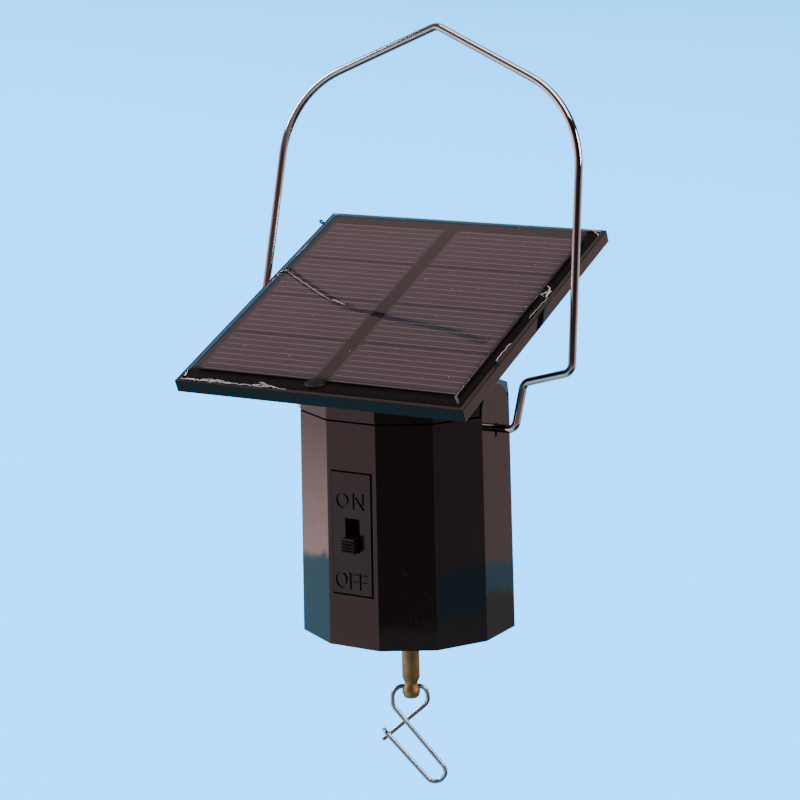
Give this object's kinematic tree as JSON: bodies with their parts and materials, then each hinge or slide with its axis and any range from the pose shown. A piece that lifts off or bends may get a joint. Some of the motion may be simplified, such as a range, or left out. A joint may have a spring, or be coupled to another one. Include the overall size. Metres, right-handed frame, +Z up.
{
  "type": "solar spinner motor",
  "caption": "Hanging twelve-sided solar motor: wire bail, tilting square solar panel, slide switch, and a slow geared brass shaft that turns a snap hook.",
  "frame": {"origin": "inside of the bail peak, where a hanger bears", "axes": "+Z up along the housing axis, -Y is the switch side, +X is the right-hand ear"},
  "size_m": [0.092, 0.0746, 0.1922],
  "materials": {
    "housing_black": "gloss",
    "chrome_wire": "polished",
    "zinc_steel": "satin",
    "brass": "satin",
    "white_plastic": "satin",
    "switch_plastic": "satin",
    "solar_silicon": "satin",
    "clear_epoxy": "gloss",
    "board_black": "satin",
    "board_green": "satin",
    "cell_wrap": "gloss",
    "capacitor_sleeve": "satin",
    "ferrite": "matte",
    "red_lead": "satin",
    "black_lead": "satin"
  },
  "bodies": {
    "bail": {"bail_wire": "chrome_wire"},
    "housing": {"housing_shell": "housing_black", "top_lid": "housing_black", "switch_plate": "housing_black", "battery_holder": "housing_black", "battery_contact": "chrome_wire", "battery_spring": "chrome_wire", "lid_screw_1": "zinc_steel", "lid_screw_2": "zinc_steel", "hinge_screw": "zinc_steel", "hinge_nut": "zinc_steel", "gearbox_bottom_plate": "zinc_steel", "gearbox_top_plate": "zinc_steel", "gearbox_pillar_1": "zinc_steel", "gearbox_pillar_2": "zinc_steel", "gearbox_pillar_3": "zinc_steel", "gearbox_screw_1": "zinc_steel", "gearbox_screw_2": "zinc_steel", "gearbox_screw_3": "zinc_steel", "gear_arbor_1": "zinc_steel", "gear_arbor_2": "zinc_steel", "motor_can": "zinc_steel", "shaft_bush": "brass", "motor_terminal_left": "brass", "motor_terminal_right": "brass", "motor_end_cap": "white_plastic", "charge_board": "board_green", "battery_cell": "cell_wrap", "board_capacitor": "capacitor_sleeve", "motor_magnet_left": "ferrite", "motor_magnet_right": "ferrite", "board_inductor": "ferrite", "motor_red_lead": "red_lead", "motor_black_lead": "black_lead", "switch_body": "switch_plastic"},
    "knob": {"switch_knob": "housing_black"},
    "panel": {"solar_tray": "housing_black", "solar_board": "board_black", "panel_epoxy": "clear_epoxy", "solar_cell_1": "solar_silicon", "solar_cell_2": "solar_silicon", "solar_cell_3": "solar_silicon", "solar_cell_4": "solar_silicon", "solar_cell_5": "solar_silicon", "solar_cell_6": "solar_silicon", "solar_cell_7": "solar_silicon", "solar_cell_8": "solar_silicon"},
    "output": {"output_shaft": "brass", "output_gear": "white_plastic", "thrust_washer": "zinc_steel"},
    "gear_2": {"compound_gear_2": "white_plastic"},
    "gear_1": {"compound_gear_1": "white_plastic"},
    "rotor": {"motor_shaft": "zinc_steel", "motor_pinion": "brass", "motor_armature": "zinc_steel"},
    "hook": {"spring_hook": "zinc_steel"}
  },
  "joints": [
    {"name": "bail_swing", "type": "hinge", "parent": "bail", "child": "housing", "pos_m": [0, -0.01904, -0.09445], "axis": [1, 0, 0], "range_deg": [-150, 150]},
    {"name": "switch_slide", "type": "slide", "parent": "housing", "child": "knob", "axis": [0, 0, 1], "range_m": [0, 0.0043]},
    {"name": "panel_tilt", "type": "hinge", "parent": "housing", "child": "panel", "pos_m": [0, -0.01894, -0.07625], "axis": [1, 0, 0], "range_deg": [-62, 16]},
    {"name": "shaft_spin", "type": "hinge", "parent": "housing", "child": "output", "pos_m": [0, -0.01894, -0.14665], "axis": [0, 0, 1], "continuous": true},
    {"name": "gear_2_spin", "type": "hinge", "parent": "housing", "child": "gear_2", "pos_m": [-0.0076, -0.02333, -0.13865], "axis": [0, 0, 1], "continuous": true},
    {"name": "gear_1_spin", "type": "hinge", "parent": "housing", "child": "gear_1", "pos_m": [0, -0.02772, -0.13865], "axis": [0, 0, 1], "continuous": true},
    {"name": "rotor_spin", "type": "hinge", "parent": "housing", "child": "rotor", "pos_m": [0.0076, -0.02333, -0.13865], "axis": [0, 0, 1], "continuous": true},
    {"name": "hook_swing", "type": "hinge", "parent": "output", "child": "hook", "pos_m": [0, -0.01894, -0.16425], "axis": [0.8563, 0.5165, 0], "range_deg": [-90, 90]}
  ],
  "couplings": [
    {"joint": "gear_2_spin", "follows": "shaft_spin", "ratio": -4},
    {"joint": "gear_1_spin", "follows": "shaft_spin", "ratio": 16},
    {"joint": "rotor_spin", "follows": "shaft_spin", "ratio": -64}
  ]
}
